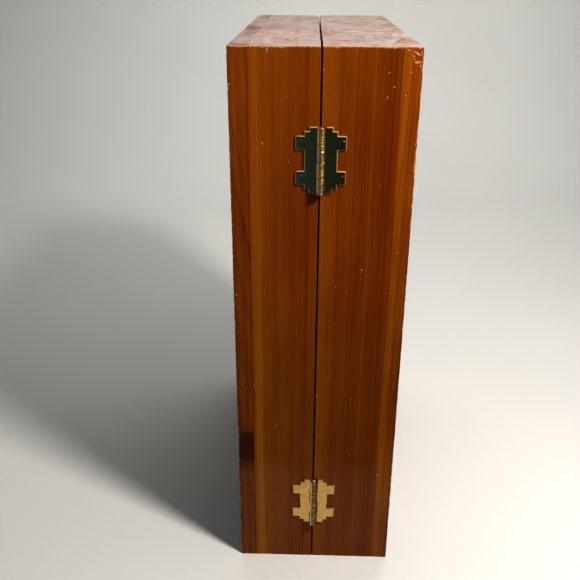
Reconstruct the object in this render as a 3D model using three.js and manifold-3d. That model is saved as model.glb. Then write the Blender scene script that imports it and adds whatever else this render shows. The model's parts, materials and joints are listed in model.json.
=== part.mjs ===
// Folding mancala board, closed and standing on one end.
// Two hollowed wooden halves meet face to face, joined along the spine by two brass hinges and
// held shut on the opposite edge by a brass swing hook.
//
// Units are millimetres. +Z is up along the hinge pins, +X runs from the left half to the right half,
// and -Y is the spine that carries the hinges. The origin is under the middle of the closed board.

import * as THREE from "three";
import { mergeVertices } from "three/addons/utils/BufferGeometryUtils.js";
import Module from "manifold-3d";

// Whole board
const BOARD_HEIGHT = 302;
const BOARD_DEPTH = 216;
const BOARD_WIDTH = 89.5;
const FOLD_GAP = 0.7;
const GAP_CENTRE_X = -1.25;
const PANEL_THICKNESS = 9.25;

const SPINE_Y = -BOARD_DEPTH / 2;
const BACK_Y = BOARD_DEPTH / 2;
const OUTER_X = BOARD_WIDTH / 2;
const PANEL_INNER_X = OUTER_X - PANEL_THICKNESS;
const LEFT_INNER_X = GAP_CENTRE_X - FOLD_GAP / 2;
const RIGHT_INNER_X = GAP_CENTRE_X + FOLD_GAP / 2;

// Each core is glued up edge to edge from staves, listed by width from the spine to the back
const LEFT_STAVE_WIDTHS = [86, 130];
const RIGHT_STAVE_WIDTHS = [32, 140, 44];

// Playing pits: three columns of two in each half, and one store along the opening edge
const PIT_RADIUS = 22.5;
const PIT_LENGTH = 98;
const PIT_DEPTH = 20;
const PIT_ROW_OFFSET = 67;
const PIT_COLUMNS = 3;
const SPINE_MARGIN = 8;
const RIB = 6;
const STORE_RADIUS = 22;
const STORE_LENGTH = 234;
const STORE_DEPTH = 22;
const SCOOP_SEGMENTS = 20;
const SCOOP_CAP_SEGMENTS = 5;

const FIRST_COLUMN_Y = SPINE_Y + SPINE_MARGIN + PIT_RADIUS;
const COLUMN_PITCH = 2 * PIT_RADIUS + RIB;
const LAST_COLUMN_Y = FIRST_COLUMN_Y + (PIT_COLUMNS - 1) * COLUMN_PITCH;
const STORE_Y = LAST_COLUMN_Y + PIT_RADIUS + RIB + STORE_RADIUS;

// Hinges: surface-mounted stepped leaves around one pin
const HINGE_CENTRES_Z = { upper: 249.7, lower: 43.5 };
const HINGE_HEIGHT = 32.5;
const HINGE_AXIS_X = -0.8;
const LEAF_THICKNESS = 1;
const LEAF_HALF_WIDTH = 12.3;
const LEAF_WAIST = 8.1;
const LEAF_CROWN = 5.8;
const LEAF_STEP = 2;
const EAR_TOP = 4.2;
const EAR_HEIGHT = 7.1;
const EAR_ROUNDING = 0.8;
const KNUCKLE_RADIUS = 2.2;
const KNUCKLE_BORE = 1.25;
const KNUCKLE_COUNT = 4;
const KNUCKLE_CLEARANCE = 0.3;
const PIN_RADIUS = 1.05;
const PIN_PROUD = 0.35;
const HINGE_AXIS_Y = SPINE_Y - KNUCKLE_RADIUS;

// Brads that hold the hinge leaves and the latch plates
const BRAD_OFFSET_X = 9.9;
const BRAD_OFFSET_Z = 8.5;
const BRAD_HEAD_RADIUS = 1.3;
const HINGE_BRAD_PROUD = 0.3;
const LATCH_BRAD_PROUD = 0;
const BRAD_HEAD_THICKNESS = 0.9;
const BRAD_SHANK_RADIUS = 0.6;
const BRAD_LENGTH = 9;
const BRAD_LEAF_HOLE = 1.6;
const BRAD_PILOT_RADIUS = 0.9;
const PILOT_EXTRA_DEPTH = 1;

// Swing hook on the opening edge
const LATCH_Z = BOARD_HEIGHT / 2;
const LATCH_REACH = 19;
const PLATE_THICKNESS = 1;
const PLATE_WIDTH = 11;
const PLATE_HEIGHT = 20;
const PLATE_BRAD_OFFSET = 6.8;
const LAYER_GAP = 0.3;
const HOOK_THICKNESS = 1.4;
const HOOK_ARM_WIDTH = 4;
const HOOK_EYE_RADIUS = 3.6;
const HOOK_BORE = 1.6;
const HOOK_SLOT_RADIUS = 1.9;
const HOOK_SLOT_SHIFT = 0.2;
const HOOK_NOSE_RADIUS = 4.2;
const HOOK_TAIL = 5;
const STUD_NECK_RADIUS = 1.3;
const STUD_HEAD_RADIUS = 2.8;
const STUD_HEAD_HEIGHT = 1.4;
const STUD_LENGTH = 10;
const STUD_PLATE_HOLE = 1.6;

const PIVOT_X = GAP_CENTRE_X - LATCH_REACH / 2;
const POST_X = GAP_CENTRE_X + LATCH_REACH / 2;
const HOOK_BACK_Y = BACK_Y + PLATE_THICKNESS + LAYER_GAP;
const STUD_HEAD_Y = HOOK_BACK_Y + HOOK_THICKNESS + LAYER_GAP;

const ROUND_SEGMENTS = 20;
const SMALL_SEGMENTS = 12;

const wasm = await Module();
wasm.setup();

const board = new THREE.Group();

const panelWood = new THREE.MeshStandardMaterial({ color: 0x8a4a20, roughness: 0.35, metalness: 0 });
const coreWood = new THREE.MeshStandardMaterial({ color: 0x9a4a1c, roughness: 0.3, metalness: 0 });
const hingeBrass = new THREE.MeshStandardMaterial({ color: 0xb8914a, roughness: 0.3, metalness: 1 });
const pinBrass = new THREE.MeshStandardMaterial({ color: 0xc9a35c, roughness: 0.25, metalness: 1 });

// Turns a closed three.js geometry into a manifold solid.
function solidFrom(geometry) {
  geometry.deleteAttribute("normal");
  geometry.deleteAttribute("uv");
  const merged = mergeVertices(geometry, 1e-4);
  const index = merged.index.array;
  const triangles = [];
  for (let i = 0; i < index.length; i += 3) {
    const [a, b, c] = [index[i], index[i + 1], index[i + 2]];
    if (a !== b && b !== c && c !== a) triangles.push(a, b, c);
  }
  const mesh = new wasm.Mesh({
    numProp: 3,
    vertProperties: new Float32Array(merged.attributes.position.array),
    triVerts: new Uint32Array(triangles),
  });
  return new wasm.Manifold(mesh);
}

// Turns a manifold solid back into a three.js geometry.
function geometryFrom(solid) {
  const mesh = solid.getMesh();
  const geometry = new THREE.BufferGeometry();
  geometry.setAttribute("position", new THREE.BufferAttribute(mesh.vertProperties, 3));
  geometry.setIndex(new THREE.BufferAttribute(mesh.triVerts, 1));
  geometry.computeVertexNormals();
  return geometry;
}

function addPiece(name, geometry, material) {
  const mesh = new THREE.Mesh(geometry, material);
  mesh.name = name;
  board.add(mesh);
}

function boxBetween(low, high) {
  const size = new THREE.Vector3(...high).sub(new THREE.Vector3(...low));
  const centre = new THREE.Vector3(...low).addScaledVector(size, 0.5);
  return new THREE.BoxGeometry(size.x, size.y, size.z).translate(centre.x, centre.y, centre.z);
}

// A cylinder whose axis runs along Y, from y = start to y = end.
function cylinderAlongY(radius, x, z, start, end, segments) {
  const length = end - start;
  return new THREE.CylinderGeometry(radius, radius, length, segments).translate(x, start + length / 2, z);
}

// A cylinder whose axis runs along Z, from z = low to z = high.
function cylinderAlongZ(radius, x, y, low, high, segments) {
  const length = high - low;
  const cylinder = new THREE.CylinderGeometry(radius, radius, length, segments).rotateX(Math.PI / 2);
  return cylinder.translate(x, y, low + length / 2);
}

// Wooden halves ----------------------------------------------------------------------------------

// A round-bottomed trough with round ends, sunk `depth` into the face at x = faceX.
// `inward` is the direction from the face into the wood.
function scoop(faceX, inward, y, z, radius, length, depth) {
  const straight = length - 2 * radius;
  const capsule = new THREE.CapsuleGeometry(radius, straight, SCOOP_CAP_SEGMENTS, SCOOP_SEGMENTS);
  capsule.rotateX(Math.PI / 2);
  capsule.translate(faceX + inward * (depth - radius), y, z);
  return solidFrom(capsule);
}

// Everything carved out of one playing face.
function carving(faceX, inward) {
  const middle = BOARD_HEIGHT / 2;
  const scoops = [scoop(faceX, inward, STORE_Y, middle, STORE_RADIUS, STORE_LENGTH, STORE_DEPTH)];
  for (let column = 0; column < PIT_COLUMNS; column += 1) {
    const y = FIRST_COLUMN_Y + column * COLUMN_PITCH;
    for (const side of [-1, 1]) {
      const z = middle + side * PIT_ROW_OFFSET;
      scoops.push(scoop(faceX, inward, y, z, PIT_RADIUS, PIT_LENGTH, PIT_DEPTH));
    }
  }
  return scoops;
}

// Pilot holes for the hinge brads of one half; side is -1 for the left half and 1 for the right.
function hingePilots(side) {
  const x = HINGE_AXIS_X + side * BRAD_OFFSET_X;
  const pilots = [];
  for (const centreZ of Object.values(HINGE_CENTRES_Z)) {
    for (const end of [-1, 1]) {
      const z = centreZ + end * BRAD_OFFSET_Z;
      const bottom = SPINE_Y + BRAD_LENGTH + PILOT_EXTRA_DEPTH;
      const pilot = cylinderAlongY(BRAD_PILOT_RADIUS, x, z, SPINE_Y - 1, bottom, SMALL_SEGMENTS);
      pilots.push(solidFrom(pilot));
    }
  }
  return pilots;
}

// Pilot holes for one latch plate and its stud.
function latchPilots(x) {
  const bottom = BACK_Y - BRAD_LENGTH - PILOT_EXTRA_DEPTH;
  const studBottom = BACK_Y - STUD_LENGTH - PILOT_EXTRA_DEPTH;
  const top = BACK_Y + 1;
  const studHole = cylinderAlongY(STUD_PLATE_HOLE, x, LATCH_Z, studBottom, top, SMALL_SEGMENTS);
  const pilots = [solidFrom(studHole)];
  for (const end of [-1, 1]) {
    const z = LATCH_Z + end * PLATE_BRAD_OFFSET;
    const pilot = cylinderAlongY(BRAD_PILOT_RADIUS, x, z, bottom, top, SMALL_SEGMENTS);
    pilots.push(solidFrom(pilot));
  }
  return pilots;
}

function addStaves(prefix, widths, lowX, highX, cuts) {
  let y = SPINE_Y;
  widths.forEach((width, i) => {
    let stave = solidFrom(boxBetween([lowX, y, 0], [highX, y + width, BOARD_HEIGHT]));
    for (const cut of cuts) stave = stave.subtract(cut);
    addPiece(`${prefix}_core_stave_${i + 1}`, geometryFrom(stave), coreWood);
    y += width;
  });
}

function addPanel(name, lowX, highX) {
  addPiece(name, boxBetween([lowX, SPINE_Y, 0], [highX, BACK_Y, BOARD_HEIGHT]), panelWood);
}

function addHalves() {
  const leftCuts = [...carving(LEFT_INNER_X, -1), ...hingePilots(-1), ...latchPilots(PIVOT_X)];
  const rightCuts = [...carving(RIGHT_INNER_X, 1), ...hingePilots(1), ...latchPilots(POST_X)];
  addPanel("left_panel", -OUTER_X, -PANEL_INNER_X);
  addStaves("left", LEFT_STAVE_WIDTHS, -PANEL_INNER_X, LEFT_INNER_X, leftCuts);
  addPanel("right_panel", PANEL_INNER_X, OUTER_X);
  addStaves("right", RIGHT_STAVE_WIDTHS, RIGHT_INNER_X, PANEL_INNER_X, rightCuts);
}

// Hinges -----------------------------------------------------------------------------------------

// Stepped outline of one leaf, from the pin axis out to x = LEAF_HALF_WIDTH, centred on z = 0.
function leafOutline() {
  const top = HINGE_HEIGHT / 2;
  const earTop = top - EAR_TOP;
  const earBottom = earTop - EAR_HEIGHT;
  const outline = new THREE.Shape();
  outline.moveTo(0, -top);
  outline.lineTo(LEAF_CROWN, -top);
  outline.lineTo(LEAF_CROWN, -top + LEAF_STEP);
  outline.lineTo(LEAF_WAIST, -top + LEAF_STEP);
  outline.lineTo(LEAF_WAIST, -earTop);
  outline.lineTo(LEAF_HALF_WIDTH - EAR_ROUNDING, -earTop);
  outline.lineTo(LEAF_HALF_WIDTH, -earTop + EAR_ROUNDING);
  outline.lineTo(LEAF_HALF_WIDTH, -earBottom - EAR_ROUNDING);
  outline.lineTo(LEAF_HALF_WIDTH - EAR_ROUNDING, -earBottom);
  outline.lineTo(LEAF_WAIST, -earBottom);
  outline.lineTo(LEAF_WAIST, earBottom);
  outline.lineTo(LEAF_HALF_WIDTH - EAR_ROUNDING, earBottom);
  outline.lineTo(LEAF_HALF_WIDTH, earBottom + EAR_ROUNDING);
  outline.lineTo(LEAF_HALF_WIDTH, earTop - EAR_ROUNDING);
  outline.lineTo(LEAF_HALF_WIDTH - EAR_ROUNDING, earTop);
  outline.lineTo(LEAF_WAIST, earTop);
  outline.lineTo(LEAF_WAIST, top - LEAF_STEP);
  outline.lineTo(LEAF_CROWN, top - LEAF_STEP);
  outline.lineTo(LEAF_CROWN, top);
  outline.lineTo(0, top);
  outline.closePath();
  return outline;
}

// One leaf with its knuckles. side is -1 for the left leaf, which has the first and third knuckle
// from the top, and 1 for the right leaf, which has the second and fourth.
function hingeLeaf(side, centreZ) {
  const plate = new THREE.ExtrudeGeometry(leafOutline(), { depth: LEAF_THICKNESS, bevelEnabled: false });
  plate.rotateX(Math.PI / 2);
  if (side < 0) plate.rotateZ(Math.PI).translate(0, -LEAF_THICKNESS, 0);
  plate.translate(HINGE_AXIS_X, SPINE_Y, centreZ);
  let leaf = solidFrom(plate);

  const pitch = HINGE_HEIGHT / KNUCKLE_COUNT;
  const top = centreZ + HINGE_HEIGHT / 2;
  const ownParity = side < 0 ? 0 : 1;
  for (let i = 0; i < KNUCKLE_COUNT; i += 1) {
    const high = top - i * pitch;
    const low = high - pitch;
    if (i % 2 === ownParity) {
      const trim = KNUCKLE_CLEARANCE / 2;
      const lowEnd = i === KNUCKLE_COUNT - 1 ? low : low + trim;
      const highEnd = i === 0 ? high : high - trim;
      const knuckle = cylinderAlongZ(
        KNUCKLE_RADIUS, HINGE_AXIS_X, HINGE_AXIS_Y, lowEnd, highEnd, ROUND_SEGMENTS);
      leaf = leaf.add(solidFrom(knuckle));
    } else {
      const reach = KNUCKLE_RADIUS + KNUCKLE_CLEARANCE;
      const trim = KNUCKLE_CLEARANCE / 2;
      const notch = boxBetween(
        [HINGE_AXIS_X - reach, SPINE_Y - 2 * reach, low - trim],
        [HINGE_AXIS_X + reach, SPINE_Y + 1, high + trim]);
      leaf = leaf.subtract(solidFrom(notch));
    }
  }

  const boreLow = centreZ - HINGE_HEIGHT;
  const boreHigh = centreZ + HINGE_HEIGHT;
  const bore = cylinderAlongZ(
    KNUCKLE_BORE, HINGE_AXIS_X, HINGE_AXIS_Y, boreLow, boreHigh, ROUND_SEGMENTS);
  leaf = leaf.subtract(solidFrom(bore));
  for (const end of [-1, 1]) {
    const x = HINGE_AXIS_X + side * BRAD_OFFSET_X;
    const z = centreZ + end * BRAD_OFFSET_Z;
    const hole = cylinderAlongY(BRAD_LEAF_HOLE, x, z, SPINE_Y - 2, SPINE_Y + 1, SMALL_SEGMENTS);
    leaf = leaf.subtract(solidFrom(hole));
  }
  return geometryFrom(leaf);
}

function hingePin(centreZ) {
  const half = HINGE_HEIGHT / 2 + PIN_PROUD;
  return cylinderAlongZ(
    PIN_RADIUS, HINGE_AXIS_X, HINGE_AXIS_Y, centreZ - half, centreZ + half, ROUND_SEGMENTS);
}

// A headed fastener along Y. `outward` is the direction its head points, `surface` the face that it is
// measured from, and `proud` how far the top of the head stands above that face.
function headedPin(x, z, surface, outward, proud, head, shank, length) {
  const headBase = proud - head.height;
  const profile = [
    new THREE.Vector2(0, headBase - length),
    new THREE.Vector2(shank, headBase - length),
    new THREE.Vector2(shank, headBase),
    new THREE.Vector2(head.radius, headBase),
    new THREE.Vector2(head.radius, proud - head.height / 3),
    new THREE.Vector2(head.radius * 0.7, proud),
    new THREE.Vector2(0, proud),
  ];
  const pin = new THREE.LatheGeometry(profile, SMALL_SEGMENTS);
  if (outward < 0) pin.rotateX(Math.PI);
  return pin.translate(x, surface, z);
}

function brad(x, z, surface, outward, proud) {
  const head = { radius: BRAD_HEAD_RADIUS, height: BRAD_HEAD_THICKNESS };
  const shankLength = BRAD_LENGTH - BRAD_HEAD_THICKNESS;
  return headedPin(x, z, surface, outward, proud, head, BRAD_SHANK_RADIUS, shankLength);
}

function addHinge(name, centreZ) {
  addPiece(`${name}_hinge_left_leaf`, hingeLeaf(-1, centreZ), hingeBrass);
  addPiece(`${name}_hinge_right_leaf`, hingeLeaf(1, centreZ), hingeBrass);
  addPiece(`${name}_hinge_pin`, hingePin(centreZ), pinBrass);
  const sides = { left: -1, right: 1 };
  const ends = { top: 1, bottom: -1 };
  for (const [sideName, side] of Object.entries(sides)) {
    for (const [endName, end] of Object.entries(ends)) {
      const x = HINGE_AXIS_X + side * BRAD_OFFSET_X;
      const z = centreZ + end * BRAD_OFFSET_Z;
      const surface = SPINE_Y - LEAF_THICKNESS;
      const piece = brad(x, z, surface, -1, HINGE_BRAD_PROUD);
      addPiece(`${name}_hinge_brad_${sideName}_${endName}`, piece, hingeBrass);
    }
  }
}

// Latch ------------------------------------------------------------------------------------------

// A plate with clipped corners on the opening edge, drilled for one stud and two brads.
function latchPlate(x) {
  const w = PLATE_WIDTH / 2;
  const h = PLATE_HEIGHT / 2;
  const clip = w / 2;
  const outline = new THREE.Shape();
  outline.moveTo(-w, -h + clip);
  outline.lineTo(-w + clip, -h);
  outline.lineTo(w - clip, -h);
  outline.lineTo(w, -h + clip);
  outline.lineTo(w, h - clip);
  outline.lineTo(w - clip, h);
  outline.lineTo(-w + clip, h);
  outline.lineTo(-w, h - clip);
  outline.closePath();
  const blank = new THREE.ExtrudeGeometry(outline, { depth: PLATE_THICKNESS, bevelEnabled: false });
  blank.rotateX(Math.PI / 2).translate(x, BACK_Y + PLATE_THICKNESS, LATCH_Z);
  let plate = solidFrom(blank);
  const holes = [
    [0, STUD_PLATE_HOLE],
    [-PLATE_BRAD_OFFSET, BRAD_LEAF_HOLE],
    [PLATE_BRAD_OFFSET, BRAD_LEAF_HOLE],
  ];
  for (const [offset, radius] of holes) {
    const hole = cylinderAlongY(radius, x, LATCH_Z + offset, BACK_Y - 1, BACK_Y + 3, SMALL_SEGMENTS);
    plate = plate.subtract(solidFrom(hole));
  }
  return geometryFrom(plate);
}

// The hook hangs straight down from its pivot: an eye, an arm, a nose with a side slot, and a tail.
// The slot opens towards -X here, and faces down once the hook has swung over onto the post.
function latchHook() {
  const low = HOOK_BACK_Y;
  const high = HOOK_BACK_Y + HOOK_THICKNESS;
  const noseZ = LATCH_Z - LATCH_REACH;
  const slotZ = noseZ + HOOK_SLOT_SHIFT;
  const tailZ = noseZ - HOOK_NOSE_RADIUS - HOOK_TAIL;
  const eye = cylinderAlongY(HOOK_EYE_RADIUS, PIVOT_X, LATCH_Z, low, high, ROUND_SEGMENTS);
  const nose = cylinderAlongY(HOOK_NOSE_RADIUS, PIVOT_X, noseZ, low, high, ROUND_SEGMENTS);
  const armLeft = PIVOT_X - HOOK_ARM_WIDTH / 2;
  const armRight = PIVOT_X + HOOK_ARM_WIDTH / 2;
  const arm = boxBetween([armLeft, low, noseZ], [armRight, high, LATCH_Z]);
  const tail = boxBetween([armLeft, low, tailZ], [armRight, high, noseZ]);
  const tailEnd = cylinderAlongY(HOOK_ARM_WIDTH / 2, PIVOT_X, tailZ, low, high, ROUND_SEGMENTS);
  const bore = cylinderAlongY(HOOK_BORE, PIVOT_X, LATCH_Z, low - 1, high + 1, ROUND_SEGMENTS);
  const slotEnd = cylinderAlongY(HOOK_SLOT_RADIUS, PIVOT_X, slotZ, low - 1, high + 1, ROUND_SEGMENTS);
  const slot = boxBetween(
    [PIVOT_X - 2 * HOOK_NOSE_RADIUS, low - 1, slotZ - HOOK_SLOT_RADIUS],
    [PIVOT_X, high + 1, slotZ + HOOK_SLOT_RADIUS]);
  let hook = solidFrom(eye);
  for (const part of [nose, arm, tail, tailEnd]) hook = hook.add(solidFrom(part));
  for (const cut of [bore, slotEnd, slot]) hook = hook.subtract(solidFrom(cut));
  return geometryFrom(hook);
}

// The riveted stud that the hook turns on, and the post that it catches.
function stud(x) {
  const head = { radius: STUD_HEAD_RADIUS, height: STUD_HEAD_HEIGHT };
  const neck = STUD_HEAD_Y - BACK_Y;
  return headedPin(
    x, LATCH_Z, STUD_HEAD_Y, 1, STUD_HEAD_HEIGHT, head, STUD_NECK_RADIUS, neck + STUD_LENGTH);
}

function addLatch() {
  addPiece("latch_pivot_plate", latchPlate(PIVOT_X), hingeBrass);
  addPiece("latch_catch_plate", latchPlate(POST_X), hingeBrass);
  addPiece("latch_pivot_stud", stud(PIVOT_X), pinBrass);
  addPiece("latch_catch_post", stud(POST_X), pinBrass);
  addPiece("latch_hook", latchHook(), hingeBrass);
  const plates = { pivot: PIVOT_X, catch: POST_X };
  const ends = { top: 1, bottom: -1 };
  for (const [plateName, x] of Object.entries(plates)) {
    for (const [endName, end] of Object.entries(ends)) {
      const z = LATCH_Z + end * PLATE_BRAD_OFFSET;
      const piece = brad(x, z, BACK_Y + PLATE_THICKNESS, 1, LATCH_BRAD_PROUD);
      addPiece(`latch_${plateName}_brad_${endName}`, piece, hingeBrass);
    }
  }
}

addHalves();
for (const [name, centreZ] of Object.entries(HINGE_CENTRES_Z)) addHinge(name, centreZ);
addLatch();

export default board;
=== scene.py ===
"""Looks of the folding mancala board: varnished cedar, stamped brass, camera and light.

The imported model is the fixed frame. Lengths are millimetres in its row frame (+Z up, -Y the spine, +X the
right half), and become metres where a mesh, a light or the camera is placed.
"""

import json
import math

import bmesh
import bpy
from mathutils import Matrix, Vector, noise


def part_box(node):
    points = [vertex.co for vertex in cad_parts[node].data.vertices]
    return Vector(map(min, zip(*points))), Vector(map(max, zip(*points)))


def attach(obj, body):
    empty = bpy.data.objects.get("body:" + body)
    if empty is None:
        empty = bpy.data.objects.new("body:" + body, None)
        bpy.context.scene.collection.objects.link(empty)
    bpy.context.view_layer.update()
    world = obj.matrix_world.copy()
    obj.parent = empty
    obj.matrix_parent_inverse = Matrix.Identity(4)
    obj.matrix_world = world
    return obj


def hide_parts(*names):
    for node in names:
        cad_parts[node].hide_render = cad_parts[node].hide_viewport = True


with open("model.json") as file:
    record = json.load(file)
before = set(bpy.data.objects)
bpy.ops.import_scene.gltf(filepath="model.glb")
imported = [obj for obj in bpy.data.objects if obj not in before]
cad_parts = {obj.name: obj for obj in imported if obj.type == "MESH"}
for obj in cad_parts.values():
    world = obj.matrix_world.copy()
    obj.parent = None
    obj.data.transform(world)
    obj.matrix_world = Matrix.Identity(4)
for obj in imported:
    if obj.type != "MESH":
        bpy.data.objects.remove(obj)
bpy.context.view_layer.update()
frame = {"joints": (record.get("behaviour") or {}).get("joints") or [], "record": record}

MM = 0.001
SAME_PLACE = 1e-3
WELD = 1e-4 * MM


def node_box(name):
    """Lowest and highest corner of a CAD node, in millimetres."""
    low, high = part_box(name)
    return low / MM, high / MM


def joint_place(name):
    """The point that a joint turns about, in millimetres."""
    joint = next(j for j in frame["joints"] if j["name"] == name)
    return Vector(joint["pos_m"]) / MM


# Sizes read from the frame ---------------------

LEFT_PANEL = node_box("left_panel")
RIGHT_PANEL = node_box("right_panel")
SPINE_Y = LEFT_PANEL[0].y
BACK_Y = LEFT_PANEL[1].y
BOARD_HEIGHT = LEFT_PANEL[1].z
MIDDLE_Z = BOARD_HEIGHT / 2
FOLD_FACE = {"left": node_box("left_core_stave_1")[1].x, "right": node_box("right_core_stave_1")[0].x}
HALF_BOX = {
    "left": (LEFT_PANEL[0], Vector((FOLD_FACE["left"], BACK_Y, BOARD_HEIGHT))),
    "right": (Vector((FOLD_FACE["right"], SPINE_Y, 0)), RIGHT_PANEL[1]),
}
BODY = {"left": "left_half", "right": "right_half"}
SIDE = {"left": -1, "right": 1}
BOARDS = {
    "left": ["left_panel", "left_core_stave_1", "left_core_stave_2"],
    "right": ["right_panel", "right_core_stave_1", "right_core_stave_2", "right_core_stave_3"],
}
HINGES = ("upper", "lower")
HINGE_AXIS = joint_place("fold")
HINGE_HALF = (node_box("upper_hinge_left_leaf")[1].z - node_box("upper_hinge_left_leaf")[0].z) / 2
LATCH_PIVOT = joint_place("latch_swing")

# Pits and stores, as the frame's staves have them
PIT_RADIUS = 22.5
PIT_LENGTH = 98
PIT_DEPTH = 20
PIT_ROW_OFFSET = 67
PIT_COLUMNS = 3
SPINE_MARGIN = 8
RIB = 6
STORE_RADIUS = 22
STORE_LENGTH = 234
STORE_DEPTH = 22
LIP_RADIUS = 1.1
LIP_END = math.radians(70)
SCOOP_RINGS = 14
LIP_RINGS = 4
SCOOP_CAP_SEGMENTS = 24

# Wooden blocks
ARRIS = 0.35
ARRIS_ANGLES = (45, 30, 15, 0)
PITCH = Vector((1.7, 4.0, 2.2))
CLOSEST_STOPS = 0.2
EDGE_WEAR = 0.25
WEAR_REACH = 2.6
DING_DEPTH = 0.16
DING_SPREAD = 1.5
WIDE_DING = 1.5

# Hinges
LEAF_THICKNESS = 1
LEAF_HALF_WIDTH = 12.3
LEAF_WAIST = 8.1
LEAF_CROWN = 5.8
LEAF_STEP = 2
EAR_TOP = 4.2
EAR_HEIGHT = 7.1
EAR_ROUNDING = 0.8
RIM_CHAMFER = 0.5
KNUCKLE_RADIUS = 2.2
KNUCKLE_BORE = 1.25
KNUCKLE_COUNT = 4
KNUCKLE_CLEARANCE = 0.3
KNUCKLE_END_ROUNDING = 0.12
CURL_END = math.radians(28)
CURL_TAIL = 1.2
PIN_RADIUS = 1.05
PIN_PROUD = 0.35
PIN_END = ((0, 0.05), (0.08, 0.6 * PIN_RADIUS), (0.3, PIN_RADIUS))  # (height above the end, radius)

# Brads, and the pilot holes that they sit in
BRAD_OFFSET_X = 9.9
BRAD_OFFSET_Z = 8.5
BRAD_HEAD_RADIUS = 1.3
BRAD_HEAD_THICKNESS = 0.9
BRAD_HEAD_PROUD = 0.01
BRAD_SHANK_RADIUS = 0.6
BRAD_LENGTH = 9
BRAD_TAPER = 0.8
BRAD_HOLE_RADIUS = 1.305
PILOT_RADIUS = 0.9
PILOT_DEPTH = 10
POINT_RADIUS = 0.02
ENDS = {"top": 1, "bottom": -1}
CUTTER_PROUD = 3
HAIR = 0.01  # keeps faces that would lie in one plane apart

# Latch on the opening edge
LATCH_POST_X = node_box("latch_catch_post")[0].x / 2 + node_box("latch_catch_post")[1].x / 2
PLATE_THICKNESS = 1
PLATE_WIDTH = 11
PLATE_HEIGHT = 20
PLATE_ROUNDING = 0.35
PLATE_BRAD_OFFSET = 6.8
STUD_HOLE_RADIUS = 1.6
STUD_PILOT_DEPTH = 11
HOOK_BOX = node_box("latch_hook")
HOOK_ARM_WIDTH = 4
HOOK_EYE_RADIUS = 3.6
HOOK_BORE = 1.6
HOOK_SLOT_RADIUS = 1.9
HOOK_SLOT_SHIFT = 0.2
HOOK_NOSE_RADIUS = 4.2
HOOK_ROUNDING = 0.3
STUD_NECK_RADIUS = 1.3
STUD_HEAD_RADIUS = 2.8
STUD_HEAD_HEIGHT = 1.4
STUD_DOME_HEIGHT = 0.63
STUD_TAPER = 0.6


# Mesh helpers ----------------------------------

def add_object(name, mesh):
    obj = bpy.data.objects.new(name, mesh)
    bpy.context.scene.collection.objects.link(obj)
    return obj


def object_from(name, vertices, faces):
    """A mesh object from millimetre points and faces."""
    mesh = bpy.data.meshes.new(name)
    mesh.from_pydata([Vector(v) * MM for v in vertices], [], faces)
    mesh.validate()
    return add_object(name, mesh)


def tidy_normals(obj):
    bm = bmesh.new()
    bm.from_mesh(obj.data)
    bmesh.ops.remove_doubles(bm, verts=bm.verts, dist=WELD)
    bmesh.ops.dissolve_degenerate(bm, dist=WELD, edges=bm.edges)
    bmesh.ops.recalc_face_normals(bm, faces=bm.faces)
    bm.to_mesh(obj.data)
    bm.free()
    return obj


def apply_modifiers(obj):
    evaluated = obj.evaluated_get(bpy.context.evaluated_depsgraph_get())
    mesh = bpy.data.meshes.new_from_object(evaluated)
    obj.modifiers.clear()
    obj.data = mesh


def join_solids(target, others, operation):
    """Adds the other solids to the target, or cuts them from it, and removes them."""
    for other in others:
        modifier = target.modifiers.new(operation.lower(), "BOOLEAN")
        modifier.operation = operation
        modifier.object = other
        modifier.solver = "MANIFOLD"
    apply_modifiers(target)
    for other in others:
        bpy.data.objects.remove(other)


def smooth(obj, angle=32):
    """Smooth shading with creases kept, and flat faces that stay flat beside rounded edges."""
    obj.data.shade_smooth()
    obj.data.set_sharp_from_angle(angle=math.radians(angle))
    modifier = obj.modifiers.new("weighted_normals", "WEIGHTED_NORMAL")
    modifier.keep_sharp = True
    apply_modifiers(obj)
    return obj


def round_edges(obj, width, angle=35):
    modifier = obj.modifiers.new("rounded", "BEVEL")
    modifier.width = width * MM
    modifier.segments = 3
    modifier.limit_method = "ANGLE"
    modifier.angle_limit = math.radians(angle)
    apply_modifiers(obj)


def ring_faces(rings, count):
    """Faces between neighbouring rings of count points each."""
    faces = []
    for ring in range(rings - 1):
        near, far = ring * count, (ring + 1) * count
        for k in range(count):
            nxt = (k + 1) % count
            faces.append((near + k, near + nxt, far + nxt, far + k))
    return faces


def cap(ring, count):
    """The face that closes one ring."""
    return tuple(ring * count + k for k in range(count))


def lathe(name, profile, centre, axis, segments=40):
    """A turned solid. The profile is (distance along the axis, radius) from one end to the other."""
    along = Vector(axis).normalized()
    across = along.orthogonal().normalized()
    beside = along.cross(across)
    vertices = []
    for height, radius in profile:
        for k in range(segments):
            turn = 2 * math.pi * k / segments
            spoke = across * math.cos(turn) + beside * math.sin(turn)
            vertices.append(Vector(centre) + along * height + spoke * radius)
    faces = ring_faces(len(profile), segments) + [cap(0, segments), cap(len(profile) - 1, segments)]
    return tidy_normals(object_from(name, vertices, faces))


def drill(centre, axis, radius, depth, segments=16):
    """A cutter for a round hole of some depth below a face; the axis points out of the face."""
    return lathe("cutter", [(-depth, radius), (CUTTER_PROUD, radius)], centre, axis, segments)


def prism(name, outline, low, high):
    """A solid of constant section along y. The outline is (x, z) points."""
    count = len(outline)
    vertices = [(x, y, z) for y in (low, high) for x, z in outline]
    faces = ring_faces(2, count) + [cap(0, count), cap(1, count)]
    return tidy_normals(object_from(name, vertices, faces))


def arc(centre, radius, start, end, steps):
    """Points on an arc, angles in radians."""
    turns = [start + (end - start) * k / steps for k in range(steps + 1)]
    return [(centre[0] + radius * math.cos(t), centre[1] + radius * math.sin(t)) for t in turns]


def disc(centre, radius):
    return arc(centre, radius, 0, 2 * math.pi, 40)[:-1]


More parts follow.
